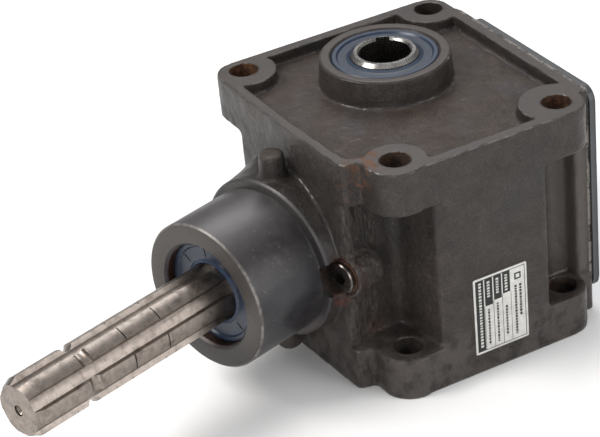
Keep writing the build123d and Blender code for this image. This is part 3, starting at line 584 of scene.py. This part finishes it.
M_CAST = cast_iron("cast_skin")
M_TURNED = turned_iron("turned_iron")
M_SHAFT = steel("spline_steel", S, base=(0.25, 0.215, 0.19), rough=0.36, dirt=0.55, dirt_c=(0.045, 0.033, 0.025), scribes=(201.0, 225.6))
M_HUB = steel("hub_steel", Z, base=(0.30, 0.29, 0.275), rough=0.24, dirt=0.5, dirt_c=(0.06, 0.05, 0.045))
M_BEARING = steel("bearing_steel", Z, base=(0.62, 0.61, 0.60), rough=0.14, dirt=0.1)
M_GEAR = steel("gear_steel", Z, base=(0.36, 0.34, 0.31), rough=0.34, dirt=0.6, dirt_c=(0.16, 0.10, 0.035))
M_CLIP = steel("clip_steel", Z, base=(0.10, 0.10, 0.105), rough=0.38, dirt=0.3, dirt_c=(0.04, 0.03, 0.02), metal=0.8)
M_BRASS = simple("cage_brass", [(0.30, 0.20, 0.07), (0.46, 0.32, 0.12), (0.62, 0.46, 0.2)], 0.32, 1.0, 0.04)
M_SEAL_IN = rubber_blue("seal_rubber_input", S, 0.31)
M_SEAL_OUT = rubber_blue("seal_rubber_output", Z, 0.31)
M_COVER = painted_plate("cover_plate")
M_GASKET = simple("gasket_sheet", [rgb(12, 12, 12), rgb(20, 19, 18), rgb(34, 31, 28)], 0.8, 0.0, 0.10)
M_SCREW = simple("screw_steel", [rgb(50, 48, 47), rgb(74, 71, 69), rgb(104, 100, 96)], 0.36, 0.8, 0.08, fleck=rgb(112, 74, 44))
M_PLUG = simple("plug_steel", [rgb(40, 36, 34), rgb(72, 66, 63), rgb(130, 122, 116)], 0.20, 0.9, 0.08, fleck=rgb(70, 44, 36), coat=0.5)
M_WASHER = simple("washer_metal", [rgb(58, 36, 28), rgb(84, 58, 46), rgb(110, 84, 68)], 0.5, 0.5, 0.10)
M_PLATE = simple("plate_metal", [rgb(166, 165, 162), rgb(193, 192, 188), rgb(214, 213, 209)], 0.38, 0.25, 0.03, coat=0.1)
M_INK = simple("plate_ink", [rgb(9, 9, 10), rgb(15, 15, 16), rgb(24, 24, 24)], 0.62, 0.0, 0.02)
M_TICK = simple("seal_moulding_marks", [rgb(8, 10, 14), rgb(14, 16, 22), rgb(22, 26, 32)], 0.5, 0.0, 0.03)

MATERIALS = {
    "rear_cover": M_COVER, "cover_gasket": M_GASKET, "cover_screws": M_SCREW, "level_plug": M_PLUG, "filler_plug": M_PLUG, "drain_plug": M_PLUG,
    "plug_washers": M_WASHER, "nameplate": M_PLATE, "input_seal": M_SEAL_IN, "upper_seal": M_SEAL_OUT, "lower_seal": M_SEAL_OUT,
    "input_shaft": M_SHAFT, "output_shaft": M_HUB, "bevel_pinion": M_GEAR, "bevel_gear": M_GEAR, "pinion_key": M_GEAR, "gear_keys": M_GEAR,
    "input_spacer_tube": M_GEAR, "gear_spacer": M_GEAR, "housing": M_CAST,
}
for name, o in NODES.items():
    if name in MATERIALS:
        mat = MATERIALS[name]
    elif name.endswith("_cage"):
        mat = M_BRASS
    elif "circlip" in name or "spring" in name:
        mat = M_CLIP
    else:
        mat = M_BEARING
    if not o.material_slots:
        o.data.materials.append(mat)
    for k in range(len(o.material_slots)):
        o.material_slots[k].material = mat


# ------------------------------------------------------------------ the casting, with rounded edges, root fillets and a cast skin
def build_casting(voxel=0.9):
    src = NODES["housing"]
    me = src.data.copy()
    o = bpy.data.objects.new("casting_tmp", me)
    bpy.context.scene.collection.objects.link(o)
    mod = o.modifiers.new("r", "REMESH")
    mod.mode = "VOXEL"
    mod.voxel_size = voxel * MM
    mod.use_smooth_shade = True
    bpy.context.view_layer.update()
    got = bpy.data.meshes.new_from_object(o.evaluated_get(bpy.context.evaluated_depsgraph_get()))
    bpy.data.objects.remove(o)
    nv = len(got.vertices)
    co = np.empty(nv * 3, np.float32)
    got.vertices.foreach_get("co", co)
    P = co.reshape(-1, 3).astype(float) / MM
    ed = np.empty(len(got.edges) * 2, np.int64)
    got.edges.foreach_get("vertices", ed)
    ed = ed.reshape(-1, 2)
    deg = np.bincount(ed.ravel(), minlength=nv).astype(float)[:, None]

    def lap(P):
        acc = np.zeros_like(P)
        for k in range(3):
            acc[:, k] = np.bincount(ed[:, 0], P[ed[:, 1], k], nv) + np.bincount(ed[:, 1], P[ed[:, 0], k], nv)
        return acc / deg - P

    # machined surfaces keep their exact size
    s = P @ Sn
    rad = P - s[:, None] * Sn
    r_in = np.linalg.norm(rad, axis=1)
    r_out = np.hypot(P[:, 0], P[:, 1])
    tol = voxel * 0.75
    fix_plane_top = (np.abs(P[:, 2] - Z_TOP) < tol)
    fix_plane_bot = (np.abs(P[:, 2] - Z_BOT) < tol)
    fix_rear = (np.abs(P[:, 1] - Y_REAR) < tol) & (P[:, 0] > -34) & (P[:, 0] < 98)
    fix_in = (np.abs(r_in - IN_BORE) < tol) & (s > 56)
    fix_snout = (np.abs(r_in - (SNOUT_R - 0.9)) < tol) & (s > 107.6)
    fix_out = (np.abs(r_out - 31.0) < tol) & ((P[:, 2] > 61) | (P[:, 2] < -47))
    d_ear = np.full(nv, 1e9)
    near = np.zeros((nv, 2))
    for ex, ey in EARS:
        d = np.hypot(P[:, 0] - ex, P[:, 1] - ey)
        near[d < d_ear] = (ex, ey)
        d_ear = np.minimum(d, d_ear)
    fix_hole = np.abs(d_ear - HOLE_R) < tol
    held = fix_in | fix_out | fix_hole | fix_rear | fix_snout
    P0 = P.copy()
    # smoothing: cast edges round off and root corners fill
    w = np.where(held, 0.0, 1.0)[:, None]
    land_edge = (fix_plane_top | fix_plane_bot)
    w2 = np.where(held | land_edge, 0.0, 1.0)[:, None]
    for k in range(8):
        P = P + 0.5 * lap(P) * (w if k < 3 else w2)
    # normals
    got.vertices.foreach_set("co", (P * MM).astype(np.float32).ravel())
    got.update()
    nn = np.empty(nv * 3, np.float32)
    got.vertex_normals.foreach_get("vector", nn)
    N = nn.reshape(-1, 3).astype(float)
    # cast skin
    amp = 0.20 * vnoise(P, 9.0, 3) + 0.13 * vnoise(P, 4.2, 5) + 0.09 * vnoise(P, 2.3, 8)
    front = sstep(P[:, 0], 68, 72) * (1 - sstep(P[:, 0], 85, 89)) * sstep(-P[:, 1], 56, 60) * (1 - sstep(-P[:, 1], 79, 81)) * (1 - sstep(P[:, 2], 50, 62))
    amp = amp + front * (0.30 * vnoise(P * (1, 1, 0.35), 2.6, 12) + 0.22 * vnoise(P * (1, 1, 0.5), 1.8, 14))
    quiet = held | land_edge
    soft = np.where(quiet, 0.0, 1.0)
    for k in range(2):
        soft = np.minimum(soft, (np.bincount(ed[:, 0], soft[ed[:, 1]], nv) + np.bincount(ed[:, 1], soft[ed[:, 0]], nv)) / deg[:, 0])
    label = sstep(P[:, 0], 108, 110.5)
    amp = amp * (1 - 0.45 * label)
    P = P + N * (amp * soft)[:, None]
    # snap the machined surfaces
    s = P @ Sn
    rad = P - s[:, None] * Sn
    rr = np.linalg.norm(rad, axis=1)
    for mask, r0 in ((fix_in, IN_BORE + 0.02), (fix_snout, SNOUT_R - 0.9)):
        P[mask] = s[mask, None] * Sn + rad[mask] / rr[mask, None] * r0
    q = np.hypot(P[:, 0], P[:, 1])
    P[fix_out, 0] *= 31.02 / q[fix_out]
    P[fix_out, 1] *= 31.02 / q[fix_out]
    dv = P[fix_hole, :2] - near[fix_hole]
    P[fix_hole, :2] = near[fix_hole] + dv / np.linalg.norm(dv, axis=1)[:, None] * HOLE_R
    P[fix_rear, 1] = Y_REAR
    up = N[:, 2]
    t = fix_plane_top & (up > 0.45)
    P[t, 2] = Z_TOP
    b = fix_plane_bot & (up < -0.45)
    P[b, 2] = Z_BOT
    lo, hi = np.array(CAD_LO) / MM, np.array(CAD_HI) / MM
    P = np.clip(P, lo, hi)
    got.vertices.foreach_set("co", (P * MM).astype(np.float32).ravel())
    got.update()
    # the turned snout and the boss ring are pieces of their own
    bm = bmesh.new()
    bm.from_mesh(got)
    bmesh.ops.bisect_plane(bm, geom=bm.verts[:] + bm.edges[:] + bm.faces[:], plane_co=S * 105.9 * MM, plane_no=S, clear_outer=True)
    bmesh.ops.bisect_plane(bm, geom=bm.verts[:] + bm.edges[:] + bm.faces[:], plane_co=(0, 0, 84.3 * MM), plane_no=(0, 0, 1), clear_outer=True)
    for f in bm.faces:
        f.smooth = True
    bm.to_mesh(got)
    bm.free()
    got.name = "cast_housing"
    got.materials.clear()
    got.materials.append(M_CAST)
    c = bpy.data.objects.new("cast_housing", got)
    bpy.context.scene.collection.objects.link(c)
    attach(c, HB)
    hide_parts("housing")
    return c


build_casting(0.9)

# turned snout: groove, barrel, chamfered face and the bore behind the seal
prof = [(31.02, 104.6), (48.5, 104.6), (49.05, 105.1), (48.95, COLLAR_END - 1.2), (47.6, COLLAR_END), (SNOUT_R - 0.9, COLLAR_END), (SNOUT_R - 0.9, 109.3), (31.02, 109.3)]
prof = round_profile(prof, 0.18, 2)
cr, ca = math.hypot(*LEVEL), math.atan2(LEVEL[1], LEVEL[0])
verts, faces = [], []
n_col = 720
for k in range(n_col):
    a = 2 * math.pi * k / n_col
    dl = (a - ca + math.pi) % (2 * math.pi) - math.pi
    q = 10.8 ** 2 - (cr * math.sin(dl)) ** 2
    lim = cr * math.cos(dl) - math.sqrt(q) if q > 0 and abs(dl) < 0.5 else 99.0
    for r, z in prof:
        rr = min(r, lim)
        verts.append(tuple(IN_MAT @ Vector((rr * math.cos(a), rr * math.sin(a), z))))
for k in range(n_col):
    j = (k + 1) % n_col
    for i in range(len(prof)):
        i2 = (i + 1) % len(prof)
        faces.append((k * len(prof) + i, j * len(prof) + i, j * len(prof) + i2, k * len(prof) + i2))
o = new_obj("collar_end", verts, faces, M_TURNED, HB)
sharpen(o, 28)
prof = [(31.02, 109.2), (SNOUT_R - 0.9, 109.2), (SNOUT_R - 0.9, GROOVE_END - 0.5), (SNOUT_R, GROOVE_END), (SNOUT_R, SNOUT_FACE - 1.2),
        (SNOUT_R - 1.2, SNOUT_FACE), (32.9, SNOUT_FACE), (31.02, SNOUT_FACE - 1.9)]
v, f = lathe(round_profile(prof, 0.18, 2), 200, IN_MAT)
o = new_obj("turned_snout", v, f, M_TURNED, HB)
sharpen(o, 28)
# boss ring round the upper seal
prof = [(31.02, 84.0), (38.25, 84.0), (38.2, 84.6), (37.2, 85.6), (32.3, 85.6), (31.02, 84.3)]
v, f = lathe(round_profile(prof, 0.22, 2), 180)
o = new_obj("boss_ring", v, f, M_CAST, HB)
sharpen(o, 28)


# ------------------------------------------------------------------ small visual pieces
def slab_piece(bm, x0, x1, y0, y1, z0, z1):
    vs = [bm.verts.new((x * MM, y * MM, z * MM)) for x in (x0, x1) for y in (y0, y1) for z in (z0, z1)]
    for q in ((0, 1, 3, 2), (4, 6, 7, 5), (0, 4, 5, 1), (2, 3, 7, 6), (0, 2, 6, 4), (1, 5, 7, 3)):
        bm.faces.new([vs[i] for i in q])


def finish_bm(bm, name, mat, body=HB):
    bmesh.ops.recalc_face_normals(bm, faces=bm.faces[:])
    me = bpy.data.meshes.new(name)
    bm.to_mesh(me)
    bm.free()
    me.materials.append(mat)
    o = bpy.data.objects.new(name, me)
    bpy.context.scene.collection.objects.link(o)
    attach(o, body)
    return o


# generic printed layout on the label plate: a frame, black cells and short dashes in place of words
PX = X_LABEL + 0.5
Y0, Y1, Z0, Z1 = -18.2, 17.6, -57.0, -7.0
bm = bmesh.new()


def ink(u0, u1, w0, w1, h=0.05):
    """A printed area; u from the left edge, w down from the top edge, in mm."""
    slab_piece(bm, PX - 0.02, PX + h, Y0 + u0, Y0 + u1, Z1 - w1, Z1 - w0)


W, H = Y1 - Y0, Z1 - Z0
for a in ((1.3, 1.7, 1.3, H - 1.3), (W - 1.7, W - 1.3, 1.3, H - 1.3), (1.3, W - 1.3, 1.3, 1.7), (1.3, W - 1.3, H - 1.7, H - 1.3)):
    ink(*a)
ink(1.7, 6.6, 1.7, H - 1.7)
for u0, u1, w1 in ((7.4, 12.6, 19.5), (13.4, 18.6, 17.5), (19.4, 24.4, 15.5)):
    ink(u0, u1, 1.7, w1)
    ink(u1 + 0.25, u1 + 0.5, w1, H - 1.7)
    ink(u0 - 0.5, u0 - 0.25, w1, H - 1.7)
rng = np.random.RandomState(7)
for u, w0, w1, wid in ((9.6, 22, 46, 1.3), (15.6, 20, 46, 1.3), (21.6, 24, 44, 1.3)):
    w = w0
    while w < w1:
        d = 0.9 + 1.0 * rng.rand()
        ink(u - wid / 2, u + wid / 2, w, min(w + d, w1))
        w += d + 0.55
for u, w0, w1, wid in ((28.0, 13, 46, 1.5), (31.2, 13, 34, 1.5)):
    w = w0
    while w < w1:
        d = 0.8 + 1.1 * rng.rand()
        ink(u - wid / 2, u + wid / 2, w, min(w + d, w1))
        w += d + 0.5
ink(27.4, 31.8, 5.0, 9.4)
finish_bm(bm, "label_print", M_INK, HB)
bm = bmesh.new()
for u in (9.9, 15.9, 21.8):
    w = 3.6
    while w < 14.0:
        d = 0.8 + 0.7 * rng.rand()
        slab_piece(bm, PX, PX + 0.09, Y0 + u - 1.0, Y0 + u + 0.8, Z1 - w - d, Z1 - w)
        w += d + 0.7
w = 3.0
while w < H - 4:
    d = 0.7 + 0.9 * rng.rand()
    slab_piece(bm, PX, PX + 0.09, Y0 + 3.3, Y0 + 5.0, Z1 - w - d, Z1 - w)
    w += d + 0.75
slab_piece(bm, PX, PX + 0.09, Y0 + 28.4, Y0 + 30.8, Z1 - 8.4, Z1 - 6.0)
finish_bm(bm, "label_light_marks", M_PLATE, HB)

# moulding marks on the input seal: short radial bars
bm = bmesh.new()
for a in (22, 100, 142, 205, 262, 318):
    c, sn = math.cos(math.radians(a)), math.sin(math.radians(a))
    rot = Matrix.Rotation(math.radians(a), 4, "Z")
    vs = []
    for x, y, z in [(x, y, z) for x in (21.6, 26.9) for y in (-0.32, 0.32) for z in (150.2, 150.75)]:
        vs.append(bm.verts.new((IN_MAT @ (rot @ Vector((x, y, z)))) * MM))
    for q in ((0, 1, 3, 2), (4, 6, 7, 5), (0, 4, 5, 1), (2, 3, 7, 6), (0, 2, 6, 4), (1, 5, 7, 3)):
        bm.faces.new([vs[i] for i in q])
finish_bm(bm, "seal_marks", M_TICK, HB)

# hard edges on the turned and milled CAD pieces
for name in ("input_shaft", "output_shaft", "level_plug", "filler_plug", "drain_plug", "cover_screws", "rear_cover"):
    mod = NODES[name].modifiers.new("crisp", "EDGE_SPLIT")
    mod.split_angle = math.radians(30)

# the cover's broad faces are dead flat, so they take no blended normals from its rounded rim
cover_mesh = NODES["rear_cover"].data
if "custom_normal" in cover_mesh.attributes:
    cover_mesh.attributes.remove(cover_mesh.attributes["custom_normal"])
cover_mesh.polygons.foreach_set("use_smooth", [max(abs(c) for c in p.normal) < 0.999 for p in cover_mesh.polygons])

# ------------------------------------------------------------------ floor, light, camera
fl = Mat("studio_floor")
g = fl.noise(0.01, 3, 0.5)
fl.set(color=fl.ramp(g, [(0.3, (0.90, 0.90, 0.90)), (0.7, (0.93, 0.93, 0.93))]), rough=0.85, spec=0.15)
me = bpy.data.meshes.new("floor")
zf = Z_BOT * MM - 0.0004
me.from_pydata([(-6, -6, zf), (6, -6, zf), (6, 6, zf), (-6, 6, zf)], [], [(0, 1, 2, 3)])
me.materials.append(fl.m)
floor = bpy.data.objects.new("studio_floor", me)
bpy.context.scene.collection.objects.link(floor)

AZ, EL, ROLL = 1.1004390891, 0.5331590154, -0.0960954923
back = Vector((math.cos(EL) * math.sin(AZ), -math.cos(EL) * math.cos(AZ), math.sin(EL)))
right = Vector((math.cos(AZ), math.sin(AZ), 0))
up = back.cross(right)
r2 = math.cos(ROLL) * right + math.sin(ROLL) * up
u2 = -math.sin(ROLL) * right + math.cos(ROLL) * up
cam = bpy.data.cameras.new("camera")
cam.lens, cam.sensor_width = 143.93, 36
cam.clip_start, cam.clip_end = 0.05, 30
co = bpy.data.objects.new("camera", cam)
bpy.context.scene.collection.objects.link(co)
c = Vector((1.0759, -0.6118, 0.7100))
co.matrix_world = Matrix(((r2.x, u2.x, back.x, c.x), (r2.y, u2.y, back.y, c.y), (r2.z, u2.z, back.z, c.z), (0, 0, 0, 1)))
bpy.context.scene.camera = co


def area(name, pos, target, size, power, color=(1, 1, 1), size_y=None):
    l = bpy.data.lights.new(name, "AREA")
    l.shape = "RECTANGLE"
    l.size, l.size_y = size, size_y or size
    l.energy = power
    l.color = color
    o = bpy.data.objects.new(name, l)
    bpy.context.scene.collection.objects.link(o)
    o.location = pos
    o.rotation_mode = "QUATERNION"
    o.rotation_quaternion = (Vector(target) - Vector(pos)).to_track_quat("-Z", "Y")
    return o


mid = Vector((0.03, -0.09, 0.0))
left = -right
flat_back = Vector((math.sin(AZ), -math.cos(AZ), 0))
area("key_left_above", mid + left * 0.75 + flat_back * 0.15 + Z * 0.85, mid, 0.5, 10.0, (1.0, 0.985, 0.96))
area("top_rear", mid - flat_back * 0.75 + Z * 0.95 + right * 0.1, mid, 0.6, 5.5, (0.97, 0.985, 1.0))
area("fill_right", mid + right * 1.0 + flat_back * 0.55 + Z * 0.40, mid, 0.8, 6.5, (1.0, 1.0, 1.0))
area("fill_low", mid + flat_back * 1.15 + left * 0.35 + Z * 0.12, mid, 0.7, 6.5, (1.0, 0.99, 0.98))

w = bpy.data.worlds.new("studio")
bpy.context.scene.world = w
w.use_nodes = True
nt = w.node_tree
nt.nodes.clear()
wo = nt.nodes.new("ShaderNodeOutputWorld")
bg = nt.nodes.new("ShaderNodeBackground")
tc = nt.nodes.new("ShaderNodeTexCoord")
sx = nt.nodes.new("ShaderNodeSeparateXYZ")
rp = nt.nodes.new("ShaderNodeValToRGB")
mr = nt.nodes.new("ShaderNodeMapRange")
nt.links.new(tc.outputs["Generated"], sx.inputs[0])
nt.links.new(sx.outputs[2], mr.inputs[0])
mr.inputs[1].default_value, mr.inputs[2].default_value = -1, 1
nt.links.new(mr.outputs[0], rp.inputs[0])
e = rp.color_ramp.elements
e[0].position, e[0].color = 0.45, (0.5, 0.5, 0.5, 1)
e[1].position, e[1].color = 1.0, (1.0, 1.0, 1.0, 1)
k = e.new(0.62)
k.color = (0.30, 0.30, 0.31, 1)
nt.links.new(rp.outputs[0], bg.inputs[0])
bg.inputs[1].default_value = 0.75
nt.links.new(bg.outputs[0], wo.inputs[0])
bpy.context.scene.view_settings.view_transform = "Standard"
